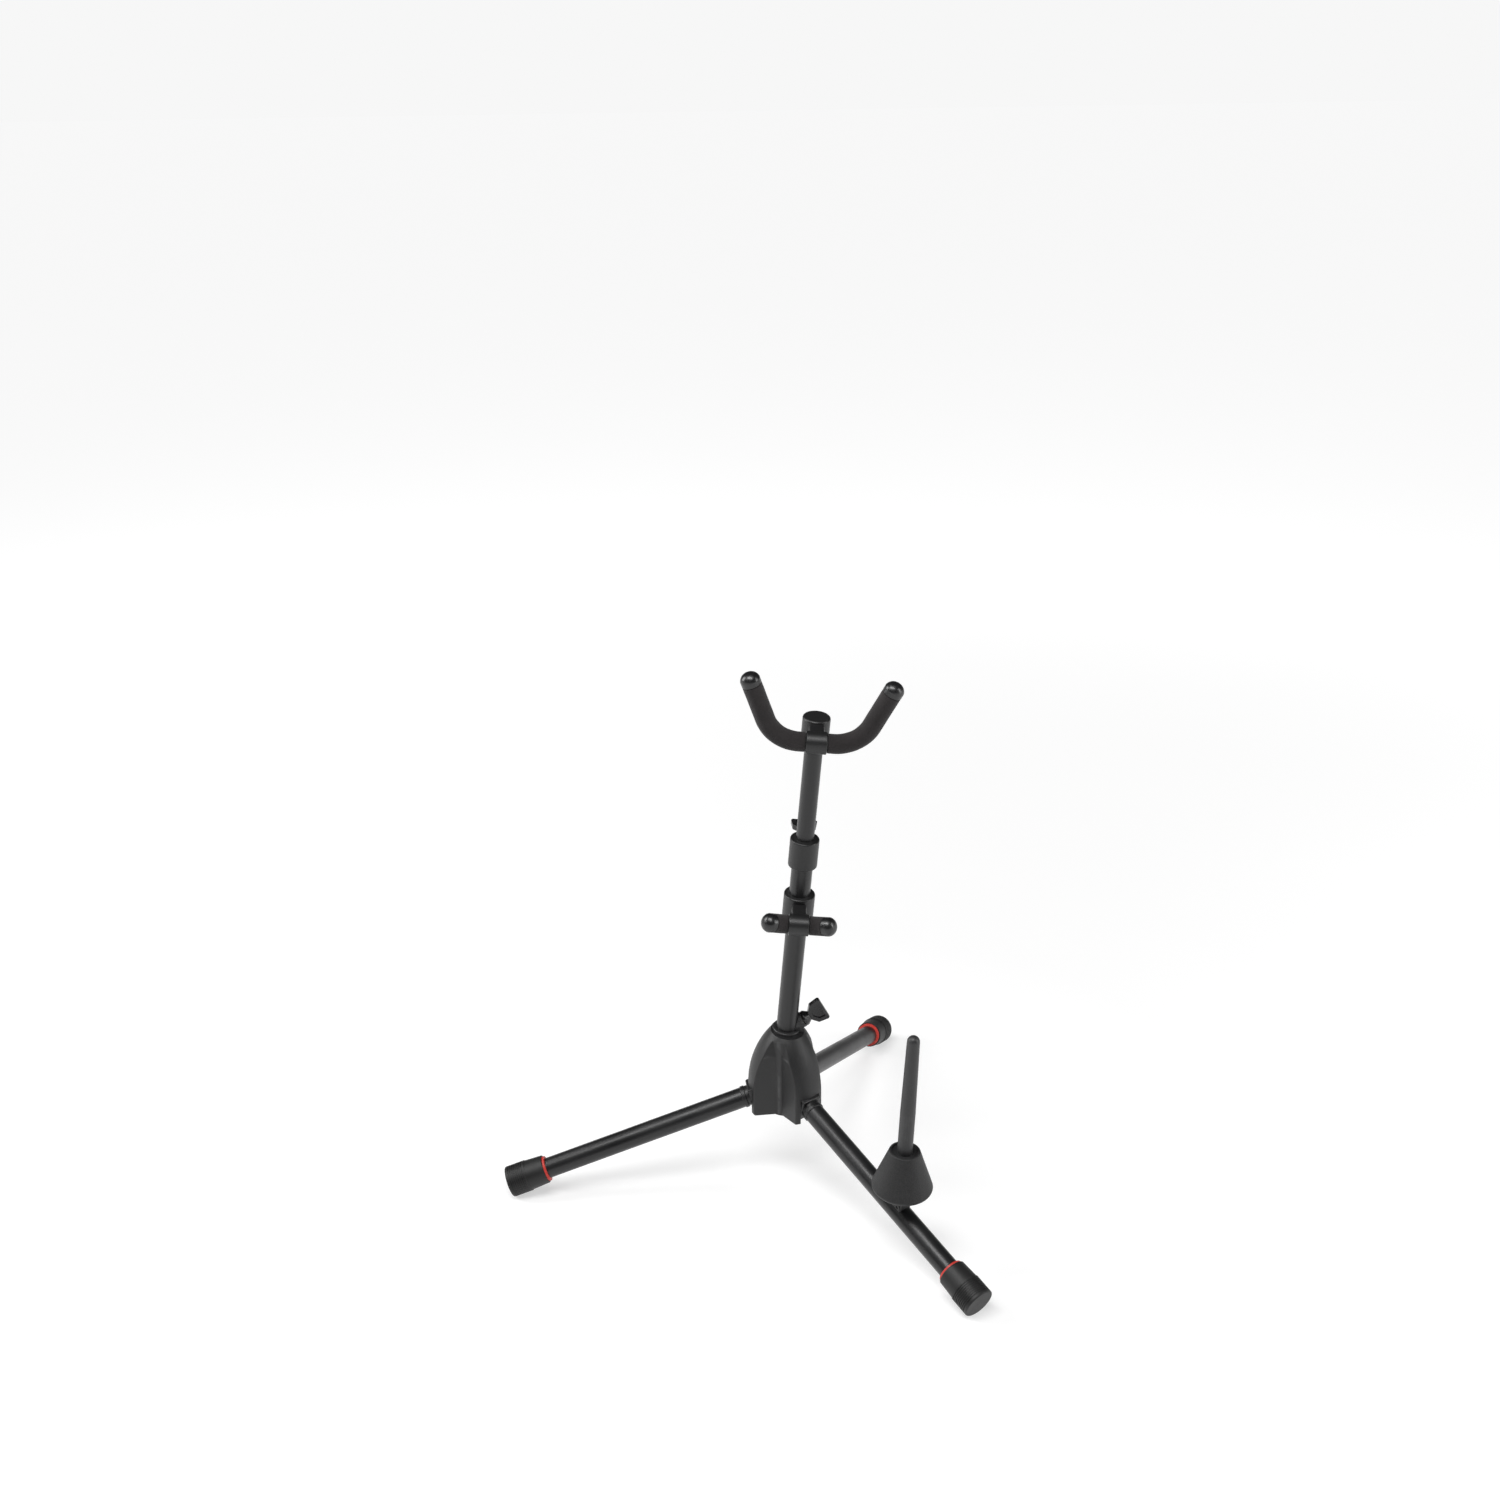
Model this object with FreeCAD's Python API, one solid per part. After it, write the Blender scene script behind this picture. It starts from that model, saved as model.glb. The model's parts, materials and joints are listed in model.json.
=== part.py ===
import FreeCAD, Part
import math
import os

# Folding tripod stand for a saxophone, with a flute peg on one leg.
# Millimetres, +Z up. The origin is on the floor, on the hub's vertical axis.
# Azimuths are degrees from +X, anticlockwise seen from above.

# ---- Tripod ----
LEG_NAMES = ("left", "right", "back")
FIRST_LEG_AZIMUTH = 186.3
LEG_SPACING = 120.0
LEG_SLOPE = 18.3            # below the horizontal, with the leg against its stop
LEG_REACH = 254.6           # pivot to the end of the foot, along the leg
PIVOT_RADIUS = 23.5         # pivot pin's distance from the hub's axis
TUBE_R = 9.5
TUBE_WALL = 1.5
EYE_R = 11.0                # rounded end of the leg joint, about the pin
EYE_HALF_WIDTH = 10.3
BLOCK_TOP = 11.0            # bears on the slot's roof, which stops the leg
BLOCK_BOTTOM = -12.2
BLOCK_END = 12.5            # along the leg, from the pin
BLOCK_ROUNDING = 1.4
GROOVE_R = 9.5
COLLAR_START = 15.5
COLLAR_R = 10.3
COLLAR_END = 19.5
PLUG_END = 42.0             # the joint's plug inside the leg tube
PIN_R = 3.0
PIN_HALF_LENGTH = 11.8
FIT_GAP = 0.05              # radial clearance of a running fit

# ---- Rubber foot ----
FOOT_R = 14.65              # ribbed end
FOOT_SLEEVE_R = 14.1        # smooth sleeve, next to the ribs
FOOT_MOUTH_R = 13.2
FOOT_LENGTH = 36.5
FOOT_RIB_LENGTH = 18.8
FOOT_FLOOR = 4.0            # rubber beyond the tube's end
FOOT_FILLET = 1.3
FOOT_LIP = 0.9
RIB_COUNT = 8
RIB_GROOVE = 0.7            # depth of the grooves
RIB_MARGIN = 1.2            # plain band on each side of the grooves
RING_R = 11.85
RING_PROUD = 2.0            # the coloured ring stands out of the foot's mouth
RING_SEAT = 2.0             # and sits this far inside it

# ---- Hub ----
HUB_BOTTOM = 75.3
HUB_FOOT_ROUNDING = 2.2
HUB_SKIRT_TOP = 99.0        # the lobes' outer faces are vertical up to here
HUB_SHOULDER = (14.0, 159.7)    # radius and height where the bell shape ends
HUB_FLANK = (32.0, 129.0)       # a point on the bell shape
HUB_R = 36.5
HUB_CORE_R = 19.4
LOBE_HALF_WIDTH = 15.4
LOBE_TAPER_START = 138.0    # the lobes narrow above this height
LOBE_TOP_HALF_WIDTH = 11.6
LOBE_ROUNDING = 1.5
SLOT_HALF_WIDTH = 10.8
SLOT_ROOF = 11.4            # above the leg's axis, square to it
SLOT_INNER_R = 10.8
HUB_TOP = 158.0             # centre of the hub's tilted top face

# ---- Post, leaning over the right leg ----
POST_LEAN = 8.0
POST_LEAN_AZIMUTH = FIRST_LEG_AZIMUTH + LEG_SPACING
FACING = -91.0              # the rests open this way
POST_R = 9.5
POST_BORE_R = 8.3
SOCKET_DEPTH = 42.0
SOCKET_FLOOR = 3.5
BUSHING_R = 10.95
HUB_NECK_R = 14.5
FLANGE_R = 13.0
FLANGE_HEIGHT = 2.8
LOWER_POST_TOP = 196.0      # along the post, from the hub's top face
UPPER_POST_R = 8.0
UPPER_POST_BORE_R = 6.8
UPPER_POST_BOTTOM = 106.0
UPPER_POST_TOP = 322.0

# ---- Hub clamp: a wing screw that slopes up and out between two lobes ----
CLAMP_AZIMUTH = FIRST_LEG_AZIMUTH + 1.5 * LEG_SPACING
CLAMP_RISE = 28.5           # above the horizontal
CLAMP_START = (9.5, 163.9)  # radius and height where its axis meets the post
CLAMP_BOSS_R = 7.4
CLAMP_BOSS_END = 7.0        # along the screw, from the post's wall
CLAMP_EAR_HALF_WIDTH = 6.5
CLAMP_EAR_END = 15.5        # radius
SCREW_R = 3.0
SCREW_START = 2.6           # its tip stays clear of the post
INSERT_R = 4.6
INSERT_START = 3.7
KNOB_GAP = 0.4              # between a boss and the knob's collar
KNOB_COLLAR_R = 7.2
KNOB_COLLAR_LENGTH = 2.2
KNOB_WAIST_R = 3.9
KNOB_WAIST = 7.0            # from the knob's seat
# the blade's outline: distance from the seat and half width
WING_OUTLINE = ((5.8, 3.0), (11.6, 10.4), (20.6, 11.8), (22.2, 10.6))
WING_THICKNESS = 5.0
WING_POCKET = 1.2

# ---- Padded rests ----
ROD_R = 4.0
FOAM_R = 8.4
CAP_R = 8.5
CAP_SKIRT = 4.5
CAP_DOME = 6.0
DOME_FLAT_R = 0.8           # small flat at the crown of every dome
BARREL_R = 9.6
BARREL_HALF_LENGTH = 9.0
# flat half width, bend radius, bend angle, straight arm
YOKE_ARM = (14.5, 32.0, 67.5, 35.0)
YOKE_TILT = 85.0            # of the U's plane, up from the post's normal plane
YOKE_REACH = 29.5           # from the post's axis to the rod
YOKE_HEIGHT = 316.5         # along the post, from the hub's top face
CRADLE_ARM = (9.5, 20.0, 35.0, 2.3)
CRADLE_TILT = 34.0
CRADLE_REACH = 33.8
CRADLE_HEIGHT = 138.0

# ---- Flute peg on the right leg ----
PEG_RADIUS = 165.0          # of the cone's base, from the hub's axis
PEG_BASE_Z = 78.0
PEG_LEAN = 4.0              # outward, along the leg
CONE_R = 27.0
CONE_TOP_R = 13.6
CONE_HEIGHT = 36.5
CONE_WALL = 2.6
CONE_RECESS = 2.0
PEG_ROD_R = 6.75
PEG_ROOT_R = 5.5            # its root, inside the cone
PEG_ROD_START = 14.0        # its root in the cone, above the cone's widest line
PEG_TIP_R = 5.6
PEG_ROD_HEIGHT = 118.0      # above the cone's top
PEG_STRAIGHT = 40.0         # its round part, before the taper starts
PEG_STUD_R = 4.0
CONE_LIP_R = 23.0           # its lower edge, below the widest line
CONE_LIP_DROP = 4.2
SADDLE_HALF_WIDTH = 6.2
SADDLE_ALONG = (130.5, 151.0)   # along the leg, from its pin
SADDLE_PIN_R = 3.0
SADDLE_PIN_BORE_R = 1.8
SADDLE_PIN_DEPTH = 0.8      # inside the saddle's side
SADDLE_PIN_ALONG = 147.0
SADDLE_PIN_HEIGHT = 11.0    # above the leg's axis

ORIGIN = FreeCAD.Vector(0, 0, 0)
X_AXIS = FreeCAD.Vector(1, 0, 0)
Y_AXIS = FreeCAD.Vector(0, 1, 0)
Z_AXIS = FreeCAD.Vector(0, 0, 1)


# ---- Small helpers ----
def vector(x, y, z):
    return FreeCAD.Vector(x, y, z)


def polar(radius, azimuth, z):
    angle = math.radians(azimuth)
    return vector(radius * math.cos(angle), radius * math.sin(angle), z)


def cylinder(radius, length, start=ORIGIN, axis=Z_AXIS):
    return Part.makeCylinder(radius, length, start, axis)


def tube(radius, bore_radius, length, start=ORIGIN, axis=Z_AXIS):
    return cylinder(radius, length, start, axis).cut(cylinder(bore_radius, length, start, axis))


def block(x_range, y_range, z_range):
    sizes = [high - low for low, high in (x_range, y_range, z_range)]
    return Part.makeBox(*sizes, vector(x_range[0], y_range[0], z_range[0]))


def turned(outline, start=ORIGIN, axis=Z_AXIS):
    """Revolve a closed outline of edges about an axis."""
    return Part.Face(Part.Wire(outline)).revolve(start, axis, 360)


def polygon_edges(points):
    closed = list(points) + [points[0]]
    return [Part.makeLine(a, b) for a, b in zip(closed, closed[1:])]


def placed(shape, placement):
    moved = shape.copy()
    moved.Placement = placement.multiply(moved.Placement)
    return moved


def fillet(shape, radius, wanted):
    edges = [edge for edge in shape.Edges if wanted(edge)]
    return shape.makeFillet(radius, edges)


def box_of(shape):
    return shape.BoundBox


# ---- Frames ----
def leg_frame(azimuth):
    """X runs out along the leg from its pin, Y is the pin's axis."""
    slope = math.radians(LEG_SLOPE)
    pivot_z = (FOOT_FILLET + (LEG_REACH - FOOT_FILLET) * math.sin(slope)
               + (FOOT_R - FOOT_FILLET) * math.cos(slope))
    return FreeCAD.Placement(polar(PIVOT_RADIUS, azimuth, pivot_z),
                             FreeCAD.Rotation(azimuth, LEG_SLOPE, 0))


def upright_frame(azimuth):
    return FreeCAD.Placement(ORIGIN, FreeCAD.Rotation(azimuth, 0, 0))


def leaning_frame(base, lean, lean_azimuth, facing):
    """Z leans by some degrees towards an azimuth, X keeps facing another."""
    up = polar(math.sin(math.radians(lean)), lean_azimuth, math.cos(math.radians(lean)))
    forward = polar(1, facing, 0)
    forward = (forward - up * forward.dot(up)).normalize()
    return FreeCAD.Placement(base, FreeCAD.Rotation(forward, up.cross(forward), up, "ZXY"))


def post_frame():
    return leaning_frame(vector(0, 0, HUB_TOP), POST_LEAN, POST_LEAN_AZIMUTH, FACING)


def clamp_frame():
    """Z runs out along the hub's clamp screw, from the post's wall."""
    radius, height = CLAMP_START
    return leaning_frame(polar(radius, CLAMP_AZIMUTH, height), 90 - CLAMP_RISE,
                         CLAMP_AZIMUTH, CLAMP_AZIMUTH + 180)


def peg_frame():
    azimuth = POST_LEAN_AZIMUTH
    return leaning_frame(polar(PEG_RADIUS, azimuth, PEG_BASE_Z), PEG_LEAN, azimuth, azimuth)


# ---- Hub ----
def hub_bell():
    """The bell-shaped envelope, straight at its skirt and curved above."""
    shoulder = vector(HUB_SHOULDER[0], 0, HUB_SHOULDER[1])
    skirt = vector(HUB_R, 0, HUB_SKIRT_TOP)
    flank = vector(HUB_FLANK[0], 0, HUB_FLANK[1])
    foot = vector(HUB_R - HUB_FOOT_ROUNDING, 0, HUB_BOTTOM)
    heel = vector(HUB_R, 0, HUB_BOTTOM + HUB_FOOT_ROUNDING)
    bulge = HUB_FOOT_ROUNDING * (1 - math.sin(math.pi / 4))
    foot_arc = Part.Arc(foot, vector(HUB_R - bulge, 0, HUB_BOTTOM + bulge), heel)
    axis_foot = vector(0, 0, HUB_BOTTOM)
    axis_top = vector(0, 0, HUB_SHOULDER[1])
    outline = [Part.makeLine(axis_foot, foot),
               foot_arc.toShape(),
               Part.makeLine(heel, skirt),
               Part.Arc(skirt, flank, shoulder).toShape(),
               Part.makeLine(shoulder, axis_top),
               Part.makeLine(axis_top, axis_foot)]
    return turned(outline)


def leg_azimuths():
    return [FIRST_LEG_AZIMUTH + i * LEG_SPACING for i in range(len(LEG_NAMES))]


def leg_slot(azimuth):
    """Open below and outward, with a flat sloping roof that stops the leg."""
    frame = leg_frame(azimuth)
    slope = math.radians(LEG_SLOPE)
    roof_z = frame.Base.z + SLOT_ROOF / math.cos(slope)
    outer = HUB_R + 8
    below = HUB_BOTTOM - 10
    inner_z = roof_z + (PIVOT_RADIUS - SLOT_INNER_R) * math.tan(slope)
    outer_z = roof_z + (PIVOT_RADIUS - outer) * math.tan(slope)
    side = polygon_edges([vector(SLOT_INNER_R, -SLOT_HALF_WIDTH, below),
                          vector(outer, -SLOT_HALF_WIDTH, below),
                          vector(outer, -SLOT_HALF_WIDTH, outer_z),
                          vector(SLOT_INNER_R, -SLOT_HALF_WIDTH, inner_z)])
    trench = Part.Face(Part.Wire(side)).extrude(Y_AXIS * (2 * SLOT_HALF_WIDTH))
    pin_hole = cylinder(PIN_R, 2 * PIN_HALF_LENGTH, vector(0, -PIN_HALF_LENGTH, 0), Y_AXIS)
    return placed(trench, upright_frame(azimuth)).fuse(placed(pin_hole, frame))


def hub_lobe():
    """One lobe along +X, narrower at its top, with its two long corners rounded."""
    top = HUB_SHOULDER[1]
    width, top_width = LOBE_HALF_WIDTH, LOBE_TOP_HALF_WIDTH
    section = polygon_edges([vector(0, -width, HUB_BOTTOM), vector(0, width, HUB_BOTTOM),
                             vector(0, width, LOBE_TAPER_START), vector(0, top_width, top),
                             vector(0, -top_width, top), vector(0, -width, LOBE_TAPER_START)])
    slab = Part.Face(Part.Wire(section)).extrude(X_AXIS * (HUB_R + 5))

    def is_long_corner(edge):
        box = box_of(edge)
        beside = min(abs(box.YMin), abs(box.YMax)) > LOBE_TOP_HALF_WIDTH - 0.5
        return beside and box.YMin * box.YMax > 0 and box.ZLength > 0.5 and box.XMax > 11

    return fillet(hub_bell().common(slab), LOBE_ROUNDING, is_long_corner)


def hub_lobes():
    lobes = [placed(hub_lobe(), upright_frame(azimuth)) for azimuth in leg_azimuths()]
    height = HUB_SHOULDER[1] - HUB_BOTTOM
    core = cylinder(HUB_CORE_R, height, vector(0, 0, HUB_BOTTOM)).common(hub_bell())
    return core.fuse(lobes)


def hub_body():
    post = post_frame()
    neck = cylinder(HUB_NECK_R, SOCKET_DEPTH + 4, vector(0, 0, -SOCKET_DEPTH - 4))
    boss = cylinder(CLAMP_BOSS_R, CLAMP_BOSS_END + 8, vector(0, 0, -8))
    ear = block((POST_R - 2, CLAMP_EAR_END), (-CLAMP_EAR_HALF_WIDTH, CLAMP_EAR_HALF_WIDTH),
                (HUB_TOP - 14, CLAMP_START[1]))
    above_top = cylinder(HUB_R, 20, vector(0, 0, 0))
    lobes = hub_lobes().cut(placed(above_top, post))
    body = lobes.fuse([placed(neck, post), placed(boss, clamp_frame()),
                       placed(ear, upright_frame(CLAMP_AZIMUTH))])
    socket = cylinder(BUSHING_R, SOCKET_DEPTH + 1, vector(0, 0, -SOCKET_DEPTH))
    flange_room = cylinder(FLANGE_R + 0.2, FLANGE_HEIGHT + 0.2)
    post_room = cylinder(POST_R + 0.3, 30, vector(0, 0, 0))
    insert_room = cylinder(INSERT_R, CLAMP_BOSS_END + 8, vector(0, 0, INSERT_START))
    cuts = [placed(shape, post) for shape in (socket, flange_room, post_room)]
    cuts.append(placed(insert_room, clamp_frame()))
    cuts += [placed(cylinder(SCREW_R + 0.2, 20, vector(0, 0, -8)), clamp_frame())]
    cuts += [leg_slot(azimuth) for azimuth in leg_azimuths()]
    return body.cut(cuts)


def post_bushing():
    """Plastic liner of the hub's socket, with the ring round the post."""
    sleeve = cylinder(BUSHING_R, SOCKET_DEPTH, vector(0, 0, -SOCKET_DEPTH))
    flange = cylinder(FLANGE_R, FLANGE_HEIGHT)
    flange = fillet(flange, 1.0, lambda edge: box_of(edge).ZMin > FLANGE_HEIGHT - 0.1)
    bore_start = SOCKET_FLOOR - SOCKET_DEPTH
    bore = cylinder(POST_R + FIT_GAP, SOCKET_DEPTH + 10, vector(0, 0, bore_start))
    liner = placed(sleeve.fuse(flange).cut(bore), post_frame())
    return liner.cut(placed(cylinder(CLAMP_BOSS_R + 0.3, 30, vector(0, 0, -8)), clamp_frame()))


def pivot_pins():
    pin = cylinder(PIN_R, 2 * PIN_HALF_LENGTH, vector(0, -PIN_HALF_LENGTH, 0), Y_AXIS)
    return Part.makeCompound([placed(pin, leg_frame(azimuth)) for azimuth in leg_azimuths()])


def clamp_insert():
    insert = tube(INSERT_R, SCREW_R + FIT_GAP, CLAMP_BOSS_END - INSERT_START,
                  vector(0, 0, INSERT_START))
    return placed(insert, clamp_frame())


# ---- Wing knobs ----
def wing_knob(frame, seat):
    """Round collar, a waist and a flared blade with a pocket in each face."""
    waist = seat + KNOB_WAIST
    collar_end = seat + KNOB_COLLAR_LENGTH
    collar = turned(polygon_edges([vector(0, 0, seat), vector(KNOB_COLLAR_R, 0, seat),
                                   vector(KNOB_COLLAR_R, 0, collar_end),
                                   vector(KNOB_WAIST_R, 0, waist), vector(0, 0, waist)]))
    collar = fillet(collar, 0.7, lambda edge: edge.Length > 2 * math.pi * KNOB_COLLAR_R - 1)
    right = [vector(width, 0, seat + along) for along, width in WING_OUTLINE]
    outline = right + [vector(-point.x, 0, point.z) for point in reversed(right)]
    half = WING_THICKNESS / 2
    face = Part.Face(Part.Wire(polygon_edges([p - Y_AXIS * half for p in outline])))
    blade = face.extrude(Y_AXIS * WING_THICKNESS)
    blade = fillet(blade, 0.9, lambda edge: box_of(edge).ZMin > waist)
    centre = vector(0, 0, seat + 15.6)
    inset = [centre + (p - centre) * 0.62 for p in outline]
    for side in (-1, 1):
        floor = side * (half - WING_POCKET)
        pocket = Part.Face(Part.Wire(polygon_edges([p + Y_AXIS * floor for p in inset])))
        blade = blade.cut(pocket.extrude(Y_AXIS * side * 5))
    knob = collar.fuse(blade)
    screw_hole = cylinder(SCREW_R, 6.5, vector(0, 0, seat - 1))
    return placed(knob.cut(screw_hole), frame)


def knob_screw(frame, start, seat):
    """Screw from the tube's wall to inside the knob; its tip is chamfered."""
    length = seat + 5.5 - start
    screw = cylinder(SCREW_R, length, vector(0, 0, start))
    tip_edge = [edge for edge in screw.Edges if box_of(edge).ZMax < start + 0.1]
    return placed(screw.makeChamfer(0.6, tip_edge), frame)


# ---- Legs ----
def leg_joint():
    """Rounded block about the pin, a grooved collar and the plug in the tube."""
    eye = cylinder(EYE_R, 2 * EYE_HALF_WIDTH, vector(0, -EYE_HALF_WIDTH, 0), Y_AXIS)
    eye = fillet(eye, 0.8, lambda edge: edge.Length > 30)
    body = block((0, BLOCK_END), (-EYE_HALF_WIDTH, EYE_HALF_WIDTH), (BLOCK_BOTTOM, BLOCK_TOP))
    body = fillet(body, BLOCK_ROUNDING, lambda edge: box_of(edge).XLength > 1
                  or box_of(edge).XMin > BLOCK_END - 0.1 or box_of(edge).ZMax < BLOCK_BOTTOM + 0.1)
    groove = cylinder(GROOVE_R, COLLAR_END - BLOCK_END, vector(BLOCK_END - 1, 0, 0), X_AXIS)
    collar = cylinder(COLLAR_R, COLLAR_END - COLLAR_START, vector(COLLAR_START, 0, 0), X_AXIS)
    collar = fillet(collar, 0.9, lambda edge: edge.Length > 30)
    plug = cylinder(TUBE_R - TUBE_WALL, PLUG_END - BLOCK_END, vector(BLOCK_END, 0, 0), X_AXIS)
    joint = eye.fuse([body, groove, collar, plug])
    bore = cylinder(PIN_R + FIT_GAP, 30, vector(0, -15, 0), Y_AXIS)
    return joint.cut(bore)


def leg_tube():
    end = LEG_REACH - FOOT_FLOOR
    return tube(TUBE_R, TUBE_R - TUBE_WALL, end - COLLAR_END, vector(COLLAR_END, 0, 0), X_AXIS)


def foot_cap():
    """Rubber boot: tapered sleeve, ribbed band and a nearly flat end."""
    mouth = LEG_REACH - FOOT_LENGTH
    step = LEG_REACH - FOOT_RIB_LENGTH
    sleeve = turned(polygon_edges([vector(mouth, 0, 0), vector(mouth, FOOT_MOUTH_R, 0),
                                   vector(step, FOOT_SLEEVE_R, 0), vector(step, 0, 0)]),
                    ORIGIN, X_AXIS)
    sleeve = fillet(sleeve, FOOT_LIP, lambda edge: box_of(edge).XMax < mouth + 0.1
                    and edge.Length > 30)
    band = cylinder(FOOT_R, FOOT_RIB_LENGTH, vector(step, 0, 0), X_AXIS)
    band = fillet(band, FOOT_FILLET, lambda edge: box_of(edge).XMin > LEG_REACH - 0.1)
    cap = sleeve.fuse(band)
    pitch = (FOOT_RIB_LENGTH - FOOT_FILLET - 2 * RIB_MARGIN) / RIB_COUNT
    for i in range(RIB_COUNT):
        start = vector(step + RIB_MARGIN + (i + 0.25) * pitch, 0, 0)
        cap = cap.cut(tube(FOOT_R + 1, FOOT_R - RIB_GROOVE, pitch / 2, start, X_AXIS))
    bore = cylinder(TUBE_R, FOOT_LENGTH - FOOT_FLOOR, vector(mouth, 0, 0), X_AXIS)
    seat = cylinder(RING_R, RING_SEAT, vector(mouth, 0, 0), X_AXIS)
    return cap.cut([bore, seat])


def foot_ring():
    mouth = LEG_REACH - FOOT_LENGTH
    ring = tube(RING_R, TUBE_R, RING_PROUD + RING_SEAT, vector(mouth - RING_PROUD, 0, 0), X_AXIS)
    return fillet(ring, 0.5, lambda edge: box_of(edge).XMax < mouth - RING_PROUD + 0.1
                  and edge.Length > 2 * math.pi * TUBE_R + 1)


# ---- Padded rests ----
def arm_path(arm, start, stop):
    """Right half of the U: flat, bend, straight. X is sideways, Y is up the U."""
    flat, bend, angle, straight = arm
    turn = math.radians(angle)

    def on_bend(t):
        return vector(flat + bend * math.sin(t), bend * (1 - math.cos(t)), 0)

    bend_end = on_bend(turn)
    direction = vector(math.cos(turn), math.sin(turn), 0)
    edges = [Part.makeLine(vector(start, 0, 0), on_bend(0)),
             Part.Arc(on_bend(0), on_bend(turn / 2), bend_end).toShape(),
             Part.makeLine(bend_end, bend_end + direction * (straight + stop))]
    return Part.Wire(edges)


def sweep(path, radius):
    start = path.Edges[0].valueAt(path.Edges[0].FirstParameter)
    circle = Part.Wire(Part.makeCircle(radius, start, X_AXIS))
    return path.makePipeShell([circle], True, False)


def rest_frame(height, reach, tilt):
    """X sideways, Y up the U's plane; the origin is the U's lowest middle point."""
    lift = math.radians(tilt)
    up_the_u = vector(math.cos(lift), 0, math.sin(lift))
    rotation = FreeCAD.Rotation(Y_AXIS, up_the_u, Y_AXIS.cross(up_the_u), "ZXY")
    return post_frame().multiply(FreeCAD.Placement(vector(reach, 0, height), rotation))


def mirrored(shape):
    return shape.mirror(ORIGIN, X_AXIS)


def rest_rod(arm, frame):
    right = sweep(arm_path(arm, 0, 5.0), ROD_R)
    return placed(right.fuse(mirrored(right)).removeSplitter(), frame)


def foam_sleeve(arm, frame, left):
    path = arm_path(arm, BARREL_HALF_LENGTH + 0.2, 0)
    sleeve = sweep(path, FOAM_R).cut(sweep(path, ROD_R + 0.1))
    return placed(mirrored(sleeve) if left else sleeve, frame)


def end_cap(arm, frame, left):
    """Short skirt and a smooth dome over the end of the arm."""
    rim = vector(CAP_SKIRT, CAP_R, 0)
    flank = vector(CAP_SKIRT + CAP_DOME * 0.72, CAP_R * 0.69, 0)
    crown = vector(CAP_SKIRT + CAP_DOME, DOME_FLAT_R, 0)
    centre = vector(CAP_SKIRT + CAP_DOME, 0, 0)
    outline = [Part.makeLine(ORIGIN, vector(0, CAP_R, 0)),
               Part.makeLine(vector(0, CAP_R, 0), rim),
               Part.Arc(rim, flank, crown).toShape(),
               Part.makeLine(crown, centre),
               Part.makeLine(centre, ORIGIN)]
    cap = turned(outline, ORIGIN, X_AXIS)
    cap = fillet(cap, 0.5, lambda edge: box_of(edge).XMax < 0.1 and edge.Length > 30)
    cap = cap.cut(cylinder(ROD_R, 5.0, vector(-0.01, 0, 0), X_AXIS))
    path = arm_path(arm, 0, 0)
    end = path.Edges[-1].valueAt(path.Edges[-1].LastParameter)
    tip = FreeCAD.Placement(end, FreeCAD.Rotation(arm[2], 0, 0))
    cap = placed(cap, tip)
    return placed(mirrored(cap) if left else cap, frame)


def rest_barrel(height, reach):
    """Cross barrel that grips the rod, and the web that joins it to the post."""
    barrel = cylinder(BARREL_R, 2 * BARREL_HALF_LENGTH,
                      vector(reach, -BARREL_HALF_LENGTH, height), Y_AXIS)
    barrel = fillet(barrel, 1.0, lambda edge: edge.Length > 30)
    web = block((0, reach), (-6.5, 6.5), (height - 8.0, height + 8.0))
    web = fillet(web, 2.0, lambda edge: box_of(edge).XLength > reach - 1)
    bore = cylinder(ROD_R, 2 * BARREL_HALF_LENGTH + 2,
                    vector(reach, -BARREL_HALF_LENGTH - 1, height), Y_AXIS)
    return barrel.fuse(web), bore


# ---- Post ----
def lower_post():
    bottom = SOCKET_FLOOR - SOCKET_DEPTH
    return placed(tube(POST_R, POST_BORE_R, LOWER_POST_TOP - bottom, vector(0, 0, bottom)),
                  post_frame())


def upper_post():
    length = UPPER_POST_TOP - UPPER_POST_BOTTOM
    post = tube(UPPER_POST_R, UPPER_POST_BORE_R, length, vector(0, 0, UPPER_POST_BOTTOM))
    screw_hole = cylinder(2.0 + FIT_GAP, 12.0, vector(-12.0, 0, YOKE_HEIGHT - 8), X_AXIS)
    return placed(post.cut(screw_hole), post_frame())


def upper_post_plug():
    """Plastic guide in the inner tube's lower end; its head runs in the outer tube."""
    head = cylinder(POST_BORE_R - FIT_GAP, 6.0, vector(0, 0, UPPER_POST_BOTTOM - 6.0))
    spigot = cylinder(UPPER_POST_BORE_R, 12.0, vector(0, 0, UPPER_POST_BOTTOM))
    return placed(head.fuse(spigot).cut(cylinder(3.0, 40, vector(0, 0, UPPER_POST_BOTTOM - 10))),
                  post_frame())


COLLAR_LOW = LOWER_POST_TOP - 17.0
COLLAR_HIGH = LOWER_POST_TOP + 11.0
COLLAR_OUT_R = 13.0
COLLAR_SCREW_HEIGHT = LOWER_POST_TOP + 4.0
COLLAR_SEAT = 10.5          # along the screw, from the inner tube's wall


def collar_screw_frame():
    """Z runs backward from the inner tube's wall."""
    local = FreeCAD.Placement(vector(-UPPER_POST_R, 0, COLLAR_SCREW_HEIGHT),
                              FreeCAD.Rotation(Y_AXIS, Z_AXIS, X_AXIS * -1, "ZXY"))
    return post_frame().multiply(local)


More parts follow.
